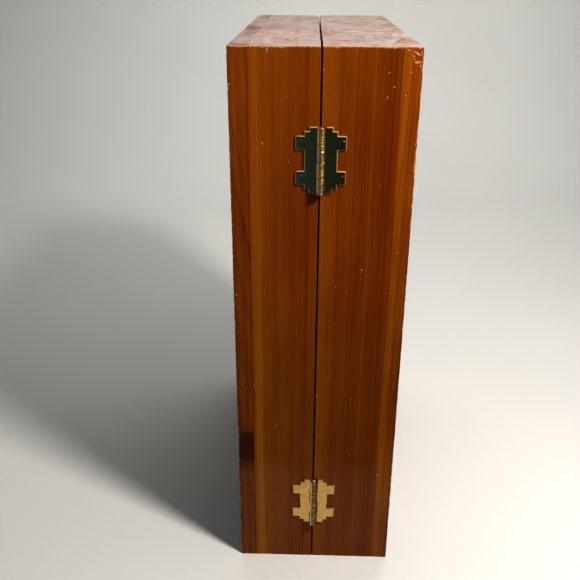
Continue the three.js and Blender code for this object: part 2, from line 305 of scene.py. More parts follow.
def finish_piece(obj, body, nodes, material):
    obj.data.materials.clear()
    obj.data.materials.append(material)
    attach(obj, body)
    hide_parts(*nodes)


# Wooden blocks ---------------------------------

# Dings and scratches on the spine face: x, z, half width, half height, lean in degrees
DINGS = [
    (41.9, 299.3, 2.0, 0.5, -30), (40.4, 298.0, 0.7, 0.4, -35), (42.5, 295.5, 1.8, 0.65, 3),
    (40.9, 296.6, 0.4, 0.5, 0), (43.7, 293.9, 0.7, 0.35, 30), (38.0, 300.6, 0.7, 0.4, 0),
    (43.9, 299.3, 0.3, 1.4, 10), (35.7, 293.3, 0.35, 0.25, 0),
    (39.8, 291.0, 0.7, 0.2, 0), (29.7, 290.8, 0.55, 0.3, 10), (32.4, 284.4, 0.4, 0.5, 40),
    (29.6, 279.6, 0.3, 1.0, -25), (37.8, 280.9, 0.4, 0.4, 0), (-44.0, 284.9, 0.6, 0.55, 0),
    (-44.2, 283.0, 0.5, 0.7, 0), (-44.2, 199.7, 0.5, 0.5, 0), (-43.4, 177.9, 0.6, 0.5, 0),
    (-26.2, 300.6, 0.35, 1.3, 6), (-28.7, 257.9, 0.3, 1.1, 12), (-17.0, 279.8, 0.25, 0.4, 0),
    (-16.3, 248.8, 0.35, 0.35, 0), (28.3, 237.9, 0.35, 0.25, 0), (38.8, 202.8, 0.25, 0.6, 15),
    (21.5, 193.1, 0.6, 0.55, 35), (21.1, 188.5, 0.25, 0.25, 0), (8.4, 183.7, 0.5, 0.3, -10),
    (14.0, 180.9, 0.25, 0.25, 0), (34.5, 180.4, 0.2, 0.6, -20), (5.4, 159.5, 0.5, 0.2, 0),
    (-34.6, 123.2, 0.4, 0.5, 0), (18.7, 115.2, 0.25, 0.35, 0), (-0.3, 116.5, 0.25, 0.8, 0),
    (-22.9, 96.5, 0.15, 3.2, -48), (18.2, 79.8, 0.25, 0.35, 0), (19.1, 77.2, 0.25, 0.25, 0),
    (36.4, 62.9, 0.9, 0.3, 0), (-0.2, 292.0, 0.25, 0.6, 0), (44.1, 258.0, 0.25, 0.75, 0),
    (-44.3, 262.0, 0.2, 0.95, 0), (-44.3, 231.5, 0.2, 0.75, 0),
]


def dings_on(low, high):
    """The dings whose middle lies on this block's part of the spine face."""
    if low.y > SPINE_Y + ARRIS:
        return []
    return [d for d in DINGS if low.x <= d[0] <= high.x]


def axis_stops(low, high, half_low, half_high, pitch, extra):
    """Grid positions along one axis, closer together where the half's edges are rounded."""
    bends = [ARRIS * (1 - math.tan(math.radians(a))) for a in ARRIS_ANGLES]
    start = [low + b for b in bends] if abs(low - half_low) < SAME_PLACE else [low]
    end = [high - b for b in reversed(bends)] if abs(high - half_high) < SAME_PLACE else [high]
    count = max(1, round((end[0] - start[-1]) / pitch))
    middle = [start[-1] + (end[0] - start[-1]) * k / count for k in range(1, count)]
    inner = sorted(middle + [e for e in extra if start[-1] < e < end[0]])
    kept = []
    for stop in inner:
        before = kept[-1] if kept else start[-1]
        if stop - before > CLOSEST_STOPS and end[0] - stop > CLOSEST_STOPS:
            kept.append(stop)
    return start + kept + end


def wear_depth(point, half_low, half_high):
    """How far the surface is worn back at a point, in millimetres."""
    gaps = sorted(min(point[i] - half_low[i], half_high[i] - point[i]) for i in range(3))
    nearness = max(0.0, 1 - gaps[1] / WEAR_REACH)
    # Two sizes of noise make long and short nicks
    ragged = noise.noise(Vector(point) / 3.1) + 0.6 * noise.noise(Vector(point) / 1.3)
    depth = EDGE_WEAR * nearness * max(0.0, ragged + 0.15)
    if point[1] < SPINE_Y + ARRIS:
        depth += sum(ding_depth(point, d) for d in dings_on(half_low, half_high))
    return depth


def ding_depth(point, ding):
    """How deep one ding is at a point on the spine face."""
    x, z, half_width, half_height, lean = ding
    turn = math.radians(lean)
    across = (point[0] - x) * math.cos(turn) + (point[2] - z) * math.sin(turn)
    along = (point[2] - z) * math.cos(turn) - (point[0] - x) * math.sin(turn)
    reach = (across / half_width) ** 2 + (along / half_height) ** 2
    return DING_DEPTH * max(0.0, 1 - reach / DING_SPREAD)


def shape_to_half(point, half_low, half_high):
    """Rounds the half's outer edges and wears them back. Points inside the half stay put."""
    inner = [min(max(point[i], half_low[i] + ARRIS), half_high[i] - ARRIS) for i in range(3)]
    offset = Vector(point) - Vector(inner)
    length = offset.length
    if length < ARRIS - 1e-4:
        return point
    return Vector(inner) + offset / length * (ARRIS - wear_depth(point, half_low, half_high))


def block(name, node, side):
    """One wooden block as a closed grid, with the rounded and worn edges of the half it belongs to."""
    low, high = node_box(node)
    half_low, half_high = HALF_BOX[side]
    extras = [[], [], []]
    for x, z, half_width, half_height, _lean in dings_on(low, high):
        extras[0] += [x - half_width, x, x + half_width]
        extras[2] += [z - half_height, z, z + half_height]
    stops = [axis_stops(*limits) for limits in zip(low, high, half_low, half_high, PITCH, extras)]
    index, vertices, faces = {}, [], []

    def vertex(key):
        if key not in index:
            index[key] = len(vertices)
            place = [stops[i][key[i]] for i in range(3)]
            vertices.append(shape_to_half(place, half_low, half_high))
        return index[key]

    for normal in range(3):
        a, b = (normal + 1) % 3, (normal + 2) % 3
        for end in (0, len(stops[normal]) - 1):
            for i in range(len(stops[a]) - 1):
                for j in range(len(stops[b]) - 1):
                    corners = []
                    for di, dj in ((0, 0), (1, 0), (1, 1), (0, 1)):
                        key = [0, 0, 0]
                        key[normal], key[a], key[b] = end, i + di, j + dj
                        corners.append(vertex(tuple(key)))
                    faces.append(corners if end else corners[::-1])
    return object_from(name, vertices, faces)


def scoop(side, y, z, radius, length, depth):
    """A cutter for one round-bottomed pit with round ends and a softened lip."""
    face = FOLD_FACE[side]
    inward = SIDE[side]
    axis_out = radius - depth
    lip_centre_out = -LIP_RADIUS
    reach = math.sqrt((radius + LIP_RADIUS) ** 2 - (axis_out - lip_centre_out) ** 2)
    meet = math.atan2(reach, axis_out - lip_centre_out)
    rings = []
    for k in range(SCOOP_RINGS + 1):
        turn = meet * k / SCOOP_RINGS
        rings.append((radius * math.sin(turn), axis_out - radius * math.cos(turn)))
    lip_start = math.pi / 2 - meet
    for k in range(1, LIP_RINGS + 1):
        turn = lip_start + (LIP_END - lip_start) * k / LIP_RINGS
        rings.append((reach - LIP_RADIUS * math.cos(turn), lip_centre_out + LIP_RADIUS * math.sin(turn)))
    last = rings[-1]
    rings.append((last[0] + CUTTER_PROUD * math.tan(LIP_END), last[1] + CUTTER_PROUD))

    half_straight = length / 2 - radius
    vertices, outline = [], []
    for end in (1, -1):
        for k in range(SCOOP_CAP_SEGMENTS + 1):
            turn = math.pi * k / SCOOP_CAP_SEGMENTS
            outline.append((math.cos(turn) * end, math.sin(turn) * end, end * half_straight))
    for spread, out in rings:
        for spoke_y, spoke_z, centre_z in outline:
            x = face - inward * out
            vertices.append((x, y + spoke_y * spread, z + centre_z + spoke_z * spread))
    count = len(outline)
    faces = ring_faces(len(rings), count) + [cap(len(rings) - 1, count)]
    return tidy_normals(object_from("cutter", vertices, faces))


def scoops_in(side, low, high):
    """Cutters for the pits and the store that reach into one stave."""
    wanted = []
    first = SPINE_Y + SPINE_MARGIN + PIT_RADIUS
    pitch = 2 * PIT_RADIUS + RIB
    for column in range(PIT_COLUMNS):
        for row in (-1, 1):
            place = (first + column * pitch, MIDDLE_Z + row * PIT_ROW_OFFSET)
            wanted.append((*place, PIT_RADIUS, PIT_LENGTH, PIT_DEPTH))
    store_y = first + (PIT_COLUMNS - 1) * pitch + PIT_RADIUS + RIB + STORE_RADIUS
    wanted.append((store_y, MIDDLE_Z, STORE_RADIUS, STORE_LENGTH, STORE_DEPTH))
    margin = LIP_RADIUS + 1
    reached = [w for w in wanted if low.y < w[0] + w[2] + margin and w[0] - w[2] - margin < high.y]
    return [scoop(side, *w) for w in reached]


def brad_spot(hinge, side, end):
    """Where the axis of one hinge brad meets the spine face."""
    x = HINGE_AXIS.x + SIDE[side] * BRAD_OFFSET_X
    return Vector((x, SPINE_Y, hinge_z(hinge) + end * BRAD_OFFSET_Z))


def pilots_in(side, low, high):
    """Cutters for the pilot holes of the brads and studs in one stave."""
    cutters = []
    if abs(low.y - SPINE_Y) < 1:
        for hinge in HINGES:
            for end in ENDS.values():
                cutters.append(drill(brad_spot(hinge, side, end), (0, -1, 0), PILOT_RADIUS, PILOT_DEPTH))
    if abs(high.y - BACK_Y) < 1:
        x = LATCH_PIVOT.x if side == "left" else LATCH_POST_X
        holes = [(0, STUD_HOLE_RADIUS, STUD_PILOT_DEPTH)]
        holes += [(end * PLATE_BRAD_OFFSET, PILOT_RADIUS, PILOT_DEPTH) for end in ENDS.values()]
        for offset, radius, depth in holes:
            cutters.append(drill((x, BACK_Y, LATCH_PIVOT.z + offset), (0, 1, 0), radius, depth))
    return cutters


def build_boards():
    for side, nodes in BOARDS.items():
        for node in nodes:
            low, high = node_box(node)
            piece = block(f"{node}_wood", node, side)
            if "core" in node:
                cutters = scoops_in(side, low, high) + pilots_in(side, low, high)
                join_solids(piece, cutters, "DIFFERENCE")
            smooth(piece)
            finish_piece(piece, BODY[side], [node], wood_material(node, side))


# Hinges ----------------------------------------

def hinge_z(hinge):
    low, high = node_box(f"{hinge}_hinge_left_leaf")
    return (low.z + high.z) / 2


def knuckle_rows(side):
    """For each knuckle from the top: low and high offset from the hinge's middle, and whether it is own.

    Where two knuckles meet, an own one is cut back by half the clearance and the notch for the other
    leaf's reaches half the clearance further.
    """
    pitch = 2 * HINGE_HALF / KNUCKLE_COUNT
    rows = []
    for i in range(KNUCKLE_COUNT):
        own = (i % 2 == 0) == (side < 0)
        trim = KNUCKLE_CLEARANCE / 2 if own else -KNUCKLE_CLEARANCE / 2
        high = HINGE_HALF - i * pitch
        low = high - pitch
        if i > 0:
            high -= trim
        if i < KNUCKLE_COUNT - 1:
            low += trim
        rows.append((low, high, own))
    return rows


def leaf_outline(side):
    """Stepped outline of one leaf about its hinge's middle, notched beside the other leaf's knuckles."""
    top = HINGE_HALF
    ear_top = top - EAR_TOP
    ear_bottom = ear_top - EAR_HEIGHT
    quarter = math.pi / 2
    far = LEAF_HALF_WIDTH - EAR_ROUNDING
    upper = [(LEAF_CROWN, top), (LEAF_CROWN, top - LEAF_STEP)]
    upper += [(LEAF_WAIST, top - LEAF_STEP), (LEAF_WAIST, ear_top)]
    upper += arc((far, ear_top - EAR_ROUNDING), EAR_ROUNDING, quarter, 0, 4)
    upper += arc((far, ear_bottom + EAR_ROUNDING), EAR_ROUNDING, 0, -quarter, 4)
    upper += [(LEAF_WAIST, ear_bottom)]
    lower = [(x, -z) for x, z in reversed(upper)]
    inner = []
    for low, high, own in reversed(knuckle_rows(side)):
        x = 0 if own else KNUCKLE_RADIUS + KNUCKLE_CLEARANCE
        inner += [(x, low), (x, high)]
    return [(x * side, z) for x, z in upper + lower + inner]


def leaf_plate(name, side, centre_z):
    """The flat stamping, with its outer rim chamfered."""
    front = SPINE_Y - LEAF_THICKNESS
    outline = [(HINGE_AXIS.x + x, centre_z + z) for x, z in leaf_outline(side)]
    plate = prism(name, outline, front, SPINE_Y)
    bm = bmesh.new()
    bm.from_mesh(plate.data)
    clear = KNUCKLE_RADIUS + KNUCKLE_CLEARANCE + HAIR
    rim = []
    for edge in bm.edges:
        middle = (edge.verts[0].co + edge.verts[1].co) / 2 / MM
        level = all(abs(v.co.y / MM - front) < SAME_PLACE for v in edge.verts)
        outer = abs(middle.x - HINGE_AXIS.x) > clear
        if level and outer:
            rim.append(edge)
    bmesh.ops.bevel(bm, geom=rim, offset=RIM_CHAMFER * MM, segments=1, affect="EDGES")
    bm.to_mesh(plate.data)
    bm.free()
    return tidy_normals(plate)


def curl_section(side, outer):
    """Section of one knuckle: the leaf's metal rolled round the pin, open at a narrow seam."""
    turn_end = 2 * math.pi + CURL_END
    outside = arc((0, 0), outer, math.pi / 2, turn_end, 40)
    inside = arc((0, 0), KNUCKLE_BORE, turn_end, math.pi / 2, 30)
    points = [(CURL_TAIL, outer)] + outside + inside + [(CURL_TAIL, KNUCKLE_BORE + 2 * HAIR)]
    return [(x * side + HINGE_AXIS.x, y + HINGE_AXIS.y) for x, y in points]


def knuckle(side, low, high):
    """One rolled knuckle with slightly rounded ends."""
    full = KNUCKLE_RADIUS - HAIR
    small = full - KNUCKLE_END_ROUNDING
    levels = [(low, small), (low + KNUCKLE_END_ROUNDING, full)]
    levels += [(high - KNUCKLE_END_ROUNDING, full), (high, small)]
    sections = [[(x, y, z) for x, y in curl_section(side, outer)] for z, outer in levels]
    count = len(sections[0])
    vertices = [p for section in sections for p in section]
    faces = ring_faces(len(levels), count) + [cap(0, count), cap(len(levels) - 1, count)]
    return tidy_normals(object_from("knuckle", vertices, faces))


def hinge_leaf(hinge, side_name):
    side = SIDE[side_name]
    centre_z = hinge_z(hinge)
    node = f"{hinge}_hinge_{side_name}_leaf"
    leaf = leaf_plate(f"{node}_brass", side, centre_z)
    own_rows = [(low, high) for low, high, own in knuckle_rows(side) if own]
    knuckles = [knuckle(side, centre_z + low, centre_z + high) for low, high in own_rows]
    join_solids(leaf, knuckles, "UNION")
    spots = [brad_spot(hinge, side_name, end) for end in ENDS.values()]
    holes = [drill(spot, (0, -1, 0), BRAD_HOLE_RADIUS, 1, 32) for spot in spots]
    join_solids(leaf, holes, "DIFFERENCE")
    smooth(leaf, 28)
    finish_piece(leaf, BODY[side_name], [node], BRASS[f"{hinge}_hinge"])


def hinge_pin(hinge):
    node = f"{hinge}_hinge_pin"
    half = HINGE_HALF + PIN_PROUD
    profile = [(height - half, radius) for height, radius in PIN_END]
    profile += [(half - height, radius) for height, radius in reversed(PIN_END)]
    centre = (HINGE_AXIS.x, HINGE_AXIS.y, hinge_z(hinge))
    pin = smooth(lathe(f"{node}_brass", profile, centre, (0, 0, 1)))
    body = next(b for b, names in frame["record"]["behaviour"]["bodies"].items() if node in names)
    finish_piece(pin, body, [node], BRASS["pin"])


def brad_profile():
    """Profile of a brad driven flush: a nearly flat head with a rounded rim."""
    base = BRAD_HEAD_PROUD - BRAD_HEAD_THICKNESS
    tip = BRAD_HEAD_PROUD - BRAD_LENGTH
    profile = [(tip, POINT_RADIUS), (tip + BRAD_TAPER, BRAD_SHANK_RADIUS), (base, BRAD_SHANK_RADIUS)]
    profile += [(base, BRAD_HEAD_RADIUS), (-0.03, BRAD_HEAD_RADIUS), (0, BRAD_HEAD_RADIUS - 0.04)]
    profile += [(BRAD_HEAD_PROUD, BRAD_HEAD_RADIUS * 0.5), (BRAD_HEAD_PROUD, POINT_RADIUS)]
    return profile


def brad(node, body, centre, axis, material):
    piece = smooth(lathe(f"{node}_brass", brad_profile(), centre, axis, 32))
    finish_piece(piece, body, [node], material)


def build_hinges():
    for hinge in HINGES:
        for side_name in SIDE:
            hinge_leaf(hinge, side_name)
            for end_name, end in ENDS.items():
                node = f"{hinge}_hinge_brad_{side_name}_{end_name}"
                centre = brad_spot(hinge, side_name, end) - Vector((0, LEAF_THICKNESS, 0))
                brad(node, BODY[side_name], centre, (0, -1, 0), BRASS[f"{hinge}_hinge"])
        hinge_pin(hinge)


# Latch -----------------------------------------

def latch_plate(node, x, body):
    w, h = PLATE_WIDTH / 2, PLATE_HEIGHT / 2
    clip = w / 2
    outline = [(-w, -h + clip), (-w + clip, -h), (w - clip, -h), (w, -h + clip),
               (w, h - clip), (w - clip, h), (-w + clip, h), (-w, h - clip)]
    placed = [(x + px, LATCH_PIVOT.z + pz) for px, pz in outline]
    plate = prism(f"{node}_brass", placed, BACK_Y, BACK_Y + PLATE_THICKNESS)
    round_edges(plate, PLATE_ROUNDING)
    cutters = [drill((x, BACK_Y, LATCH_PIVOT.z), (0, 1, 0), STUD_HOLE_RADIUS, 1, 32)]
    for end in ENDS.values():
        spot = (x, BACK_Y, LATCH_PIVOT.z + end * PLATE_BRAD_OFFSET)
        cutters.append(drill(spot, (0, 1, 0), BRAD_HOLE_RADIUS, 1, 32))
    join_solids(plate, cutters, "DIFFERENCE")
    smooth(plate)
    finish_piece(plate, body, [node], BRASS["latch"])


def latch_hook():
    """The hook hanging from its pivot: an eye, an arm, a nose with a side slot, and a thumb tail."""
    low, high = HOOK_BOX[0].y, HOOK_BOX[1].y
    x, eye_z = LATCH_PIVOT.x, LATCH_PIVOT.z
    reach = LATCH_POST_X - LATCH_PIVOT.x
    nose_z = eye_z - reach
    tail_z = HOOK_BOX[0].z + HOOK_ARM_WIDTH / 2
    slot_z = nose_z + HOOK_SLOT_SHIFT
    half = HOOK_ARM_WIDTH / 2
    arm = arc((x, tail_z), half, math.pi, 2 * math.pi, 16) + [(x + half, eye_z), (x - half, eye_z)]
    hook = prism("latch_hook_brass", arm, low, high)
    nose = prism("nose", disc((x, nose_z), HOOK_NOSE_RADIUS), low, high)
    eye = prism("eye", disc((x, eye_z), HOOK_EYE_RADIUS), low, high)
    join_solids(hook, [nose, eye], "UNION")
    slot_left = x - 2 * HOOK_NOSE_RADIUS
    slot = arc((x, slot_z), HOOK_SLOT_RADIUS, -math.pi / 2, math.pi / 2, 20)
    slot += [(slot_left, slot_z + HOOK_SLOT_RADIUS), (slot_left, slot_z - HOOK_SLOT_RADIUS)]
    cuts = [prism("slot", slot, low - 1, high + 1),
            prism("bore", disc((x, eye_z), HOOK_BORE), low - 1, high + 1)]
    join_solids(hook, cuts, "DIFFERENCE")
    round_edges(hook, HOOK_ROUNDING, 50)
    smooth(hook)
    finish_piece(hook, "latch_hook", ["latch_hook"], BRASS["latch"])


def stud_profile(length):
    """Profile of a domed head on a neck, from the neck's end outwards; 0 is the top of the dome."""
    base = -STUD_HEAD_HEIGHT
    profile = [(-length, POINT_RADIUS), (STUD_TAPER - length, STUD_NECK_RADIUS), (base, STUD_NECK_RADIUS)]
    profile += [(base, STUD_HEAD_RADIUS * 0.96), (base + 0.08, STUD_HEAD_RADIUS)]
    for k in range(7):
        turn = math.pi / 2 * k / 6
        radius = max(POINT_RADIUS, STUD_HEAD_RADIUS * math.cos(turn))
        profile.append((STUD_DOME_HEIGHT * (math.sin(turn) - 1), radius))
    return profile


def latch_stud(node, body):
    low, high = node_box(node)
    centre = ((low.x + high.x) / 2, high.y, LATCH_PIVOT.z)
    stud = smooth(lathe(f"{node}_brass", stud_profile(high.y - low.y), centre, (0, 1, 0)))
    finish_piece(stud, body, [node], BRASS["pin"])


def build_latch():
    plates = {"pivot": (LATCH_PIVOT.x, "left_half"), "catch": (LATCH_POST_X, "right_half")}
    for plate_name, (x, body) in plates.items():
        latch_plate(f"latch_{plate_name}_plate", x, body)
        for end_name, end in ENDS.items():
            centre = (x, BACK_Y + PLATE_THICKNESS, LATCH_PIVOT.z + end * PLATE_BRAD_OFFSET)
            brad(f"latch_{plate_name}_brad_{end_name}", body, centre, (0, 1, 0), BRASS["latch"])
    latch_hook()
    latch_stud("latch_pivot_stud", "left_half")
    latch_stud("latch_catch_post", "right_half")


# Materials -------------------------------------

class Nodes:
    """Short calls for building one material's node tree."""

    def __init__(self, name):
        self.material = bpy.data.materials.new(name)
        self.material.use_nodes = True
        self.tree = self.material.node_tree
        self.tree.nodes.clear()

    def add(self, kind, inputs, **settings):
        node = self.tree.nodes.new(kind)
        for key, value in settings.items():
            setattr(node, key, value)
        for key, value in inputs.items():
            self.feed(node.inputs[key], value)
        return node

    def feed(self, socket, value):
        if isinstance(value, bpy.types.NodeSocket):
            self.tree.links.new(value, socket)
        else:
            socket.default_value = value

    def math(self, operation, a, b=0.0, c=0.0):
        return self.add("ShaderNodeMath", {0: a, 1: b, 2: c}, operation=operation).outputs[0]

    def plus(self, a, b):
        return self.math("ADD", a, b)

    def minus(self, a, b):
        return self.math("SUBTRACT", a, b)

    def times(self, a, b):
        return self.math("MULTIPLY", a, b)

    def vector(self, operation, a, b=(0, 0, 0), c=(0, 0, 0)):
        return self.add("ShaderNodeVectorMath", {0: a, 1: b, 2: c}, operation=operation).outputs[0]

    def length(self, a):
        return self.add("ShaderNodeVectorMath", {0: a}, operation="LENGTH").outputs["Value"]

    def split(self, vector):
        return self.add("ShaderNodeSeparateXYZ", {0: vector}).outputs

    def join(self, x, y, z):
        return self.add("ShaderNodeCombineXYZ", {0: x, 1: y, 2: z}).outputs[0]

    def millimetres(self):
        """The surface point in the piece's own frame, in millimetres."""
        coordinates = self.add("ShaderNodeTexCoord", {}).outputs["Object"]
        return self.vector("MULTIPLY", coordinates, (1 / MM,) * 3)

    def ramp(self, value, low, high, to_low=0.0, to_high=1.0, curve="SMOOTHSTEP"):
        """Takes low..high to to_low..to_high, held at the ends."""
        inputs = {"Value": value, "From Min": low, "From Max": high, "To Min": to_low, "To Max": to_high}
        return self.add("ShaderNodeMapRange", inputs, interpolation_type=curve).outputs["Result"]

    def noise(self, point, scale, detail=2.0, seed=0.0, rough=0.5):
        """Smooth noise of about 0..1. The scale is features per millimetre, even or along each axis."""
        scales = scale if isinstance(scale, tuple) else (scale,) * 3
        place = self.vector("MULTIPLY_ADD", point, scales, (seed, seed * 0.7, seed * 1.3))
        inputs = {"Vector": place, "Scale": 1.0, "Detail": detail, "Roughness": rough}
        return self.add("ShaderNodeTexNoise", inputs).outputs[0]

    def noise_along(self, value, scale, seed=0.0, detail=1.0):
        inputs = {"W": self.math("MULTIPLY_ADD", value, scale, seed), "Scale": 1.0, "Detail": detail}
        return self.add("ShaderNodeTexNoise", inputs, noise_dimensions="1D").outputs[0]

    def colours(self, value, stops):
        """A colour ramp of (position, colour) stops."""
        node = self.add("ShaderNodeValToRGB", {0: value})
        elements = node.color_ramp.elements
        while len(elements) < len(stops):
            elements.new(0.5)
        for element, (position, colour) in zip(elements, stops):
            element.position = position
            element.color = (*colour, 1)
        return node.outputs[0]

    def mix(self, factor, a, b, blend="MIX"):
        node = self.add("ShaderNodeMix", {}, data_type="RGBA", blend_type=blend)
        self.feed(node.inputs[0], factor)
        self.feed(node.inputs[6], a if isinstance(a, bpy.types.NodeSocket) else (*a, 1))
        self.feed(node.inputs[7], b if isinstance(b, bpy.types.NodeSocket) else (*b, 1))
        return node.outputs[2]

    def bump(self, height, strength, distance):
        inputs = {"Height": height, "Strength": strength, "Distance": distance * MM}
        return self.add("ShaderNodeBump", inputs).outputs[0]

    def surface(self, **sockets):
        """The finished shader. Keywords are the Principled shader's sockets, with _ for a space."""
        inputs = {key.replace("_", " "): value for key, value in sockets.items()}
        shader = self.add("ShaderNodeBsdfPrincipled", inputs)
        self.add("ShaderNodeOutputMaterial", {0: shader.outputs[0]})
        return self.material


# Wood. Tones run from 0, deep red brown, to 1, pale amber.
PALETTE = [
    (0.00, (0.045, 0.0060, 0.0008)),
    (0.25, (0.125, 0.0240, 0.0010)),
    (0.38, (0.170, 0.0380, 0.0012)),
    (0.50, (0.205, 0.0570, 0.0015)),
    (0.75, (0.290, 0.0920, 0.0025)),
    (1.00, (0.410, 0.1500, 0.0080)),
]
RAW_WOOD = ((0.50, 0.31, 0.19), (0.36, 0.19, 0.09))
BLOOM = (0.58, 0.46, 0.42)
SAPWOOD = (0.290, 0.112, 0.0030)
GLUE_LINE = (0.03, 0.006, 0.002)
KNOT_COLOUR = (0.085, 0.0190, 0.0030)
KNOT_LINE = (0.030, 0.0060, 0.0020)
KNOT_HALO = (0.060, 0.0100, 0.0020)
# Tint multiplied into the boards' lower part: a painted reflection of the pale floor in the varnish
FLOOR_REFLECTION_TINT = (1.0, 1.22, 1.1)

# One entry a board. pith: where the tree's centre lay (x, y); tilt: how its line leans (x, y per z);
# ring: growth ring spacing; wander: how far the grain wavers; tones: (x on the spine face, tone);
# lines: strength of the dark ring lines; mottle: strength of the cloudy changes of tone;
# lift: painted light, tone added in the lower part and at the top, so the face is lighter towards the top;
# bloom: how pale its rubbed ends are; patchy: how unevenly they are rubbed
GRAIN = {
    "left_panel": dict(
        pith=(-110, -75), tilt=(-0.17, 0.02), ring=2.6, wander=3.2, lines=0.17, mottle=0.30,
        painted_light_lift=(-0.03, 0.12), bloom=0.20, patchy=4.6, seed=3.1,
        # The darkest stop, at the outer edge, is painted shade of the rounded edge
        tones=[(-44.75, 0.22), (-43.9, 0.36), (-41.5, 0.46), (-39.0, 0.36), (-37.0, 0.46), (-35.5, 0.32)]),
    "left_core_stave_1": dict(
        pith=(-170, -60), tilt=(0.0, 0.01), ring=1.6, wander=1.2, lines=0.10, mottle=0.22,
        painted_light_lift=(-0.07, 0.05), bloom=0.44, patchy=0.5, seed=11.7,
        tones=[(-35.5, 0.58), (-31.5, 0.66), (-29.6, 0.52), (-27.0, 0.58), (-24.0, 0.47), (-20.0, 0.52),
               (-14.6, 0.47), (-14.1, 0.36), (-13.4, 0.47), (-8.0, 0.43), (-4.0, 0.50), (-1.6, 0.44)]),
    "left_core_stave_2": dict(
        pith=(60, 40), tilt=(0.01, -0.01), ring=2.4, wander=2.6, lines=0.14, mottle=0.24,
        painted_light_lift=(0.0, 0.0), bloom=0.34, patchy=0.7, seed=17.3,
        tones=[(-35.5, 0.52), (-24.0, 0.44), (-12.0, 0.50), (-1.6, 0.46)]),
    "right_core_stave_1": dict(
        pith=(190, -90), tilt=(0.006, 0.01), ring=1.5, wander=1.2, lines=0.10, mottle=0.22,
        painted_light_lift=(-0.04, 0.07), bloom=0.44, patchy=0.9, seed=23.9,
        tones=[(-0.9, 0.60), (3.0, 0.54), (7.0, 0.48), (7.8, 0.40), (14.0, 0.45), (18.0, 0.38),
               (22.4, 0.39), (23.4, 0.48), (24.8, 0.38), (29.0, 0.35), (33.0, 0.34), (35.5, 0.42)]),
    "right_core_stave_2": dict(
        pith=(-40, 10), tilt=(-0.01, 0.01), ring=2.6, wander=3.0, lines=0.14, mottle=0.24,
        painted_light_lift=(0.0, 0.0), bloom=0.40, patchy=0.9, seed=29.3,
        tones=[(-0.9, 0.48), (12.0, 0.42), (24.0, 0.50), (35.5, 0.40)]),
    "right_core_stave_3": dict(
        pith=(110, 150), tilt=(0.0, 0.01), ring=1.9, wander=1.8, lines=0.12, mottle=0.24,
        painted_light_lift=(0.0, 0.0), bloom=0.36, patchy=0.8, seed=37.1,
        tones=[(-0.9, 0.56), (12.0, 0.50), (24.0, 0.44), (35.5, 0.52)]),
    "right_panel": dict(
        pith=(120, -95), tilt=(0.05, 0.02), ring=3.0, wander=5.0, lines=0.16, mottle=0.46,
        painted_light_lift=(-0.12, 0.10), bloom=0.42, patchy=2.4, seed=43.7,
        tones=[(35.5, 0.46), (36.8, 0.66), (39.2, 0.69), (40.6, 0.54), (42.5, 0.57), (44.2, 0.52),
               (44.75, 0.34)]),
}

# The knot low on the left panel's spine edge
KNOT = dict(node="left_panel", x=-39.4, z=82, half_width=7.5, half_height=10.5, depth=62)


class WoodNodes(Nodes):
    """The node tree of one board, with the place and the noises that its parts share."""

    def __init__(self, node, side):
        super().__init__(f"{node}_cedar")
        self.grain = GRAIN[node]
        self.seed = self.grain["seed"]
        self.low, self.high = node_box(node)
        self.half_low, self.half_high = HALF_BOX[side]
        self.fold_x = FOLD_FACE[side]
        self.point = self.millimetres()
        self.px, self.py, self.pz = self.split(self.point)[:3]

        # Wear
        self.grit = self.texture(1.1, 3.0, 0)
        self.chips = self.texture(2.6, 2.0, 2)
        self.patch = self.texture(0.11, 2.0, 5)

        # Grain; noises are stretched along the board's length
        self.wander = self.texture((0.022, 0.022, 0.005), 2.0, 0)
        self.fibre = self.texture((1.0, 1.0, 0.018), 3.0, 9, 0.6)
        self.fine = self.texture((4.0, 4.0, 0.09), 2.0, 13)

        # End grain
        normal = self.add("ShaderNodeTexCoord", {}).outputs["Normal"]
        self.end_grain = self.ramp(self.math("ABSOLUTE", self.split(normal)[2]), 0.6, 0.9)
        self.pores = self.texture(1.6, 3.0, 31)
        self.saw_marks = self.texture((0.35, 0.16, 0.16), 3.0, 33)
        self.blotches = self.texture((0.09, 0.032, 0.032), 3.0, 35)
        self.bloom = self.plus(self.times(self.minus(self.saw_marks, self.pores), 1.3),
                               self.swing(self.blotches, self.grain["patchy"]))

    def texture(self, scale, detail, offset, rough=0.5):
        """Noise at the surface point; each offset gives this board another pattern."""
        return self.noise(self.point, scale, detail, self.seed + offset, rough)

    def swing(self, value, amount):
        """A noise of 0..1 taken to half the amount each way about 0."""
        return self.times(self.minus(value, 0.5), amount)


def spine_mark(n, x, z, half_width, half_height, lean, raggedness):
    """1 inside a leaning oval on the spine face, 0 outside, with a ragged edge."""
    turn = math.radians(lean)
    off_x, off_z = n.minus(n.px, x), n.minus(n.pz, z)
    across = n.plus(n.times(off_x, math.cos(turn)), n.times(off_z, math.sin(turn)))
    along = n.minus(n.times(off_z, math.cos(turn)), n.times(off_x, math.sin(turn)))
    reach = n.length(n.join(n.times(across, 1 / half_width), n.times(along, 1 / half_height), 0.0))
    return n.ramp(n.plus(reach, n.swing(n.chips, raggedness)), 0.6, 1.2, 0.9, 0.0)


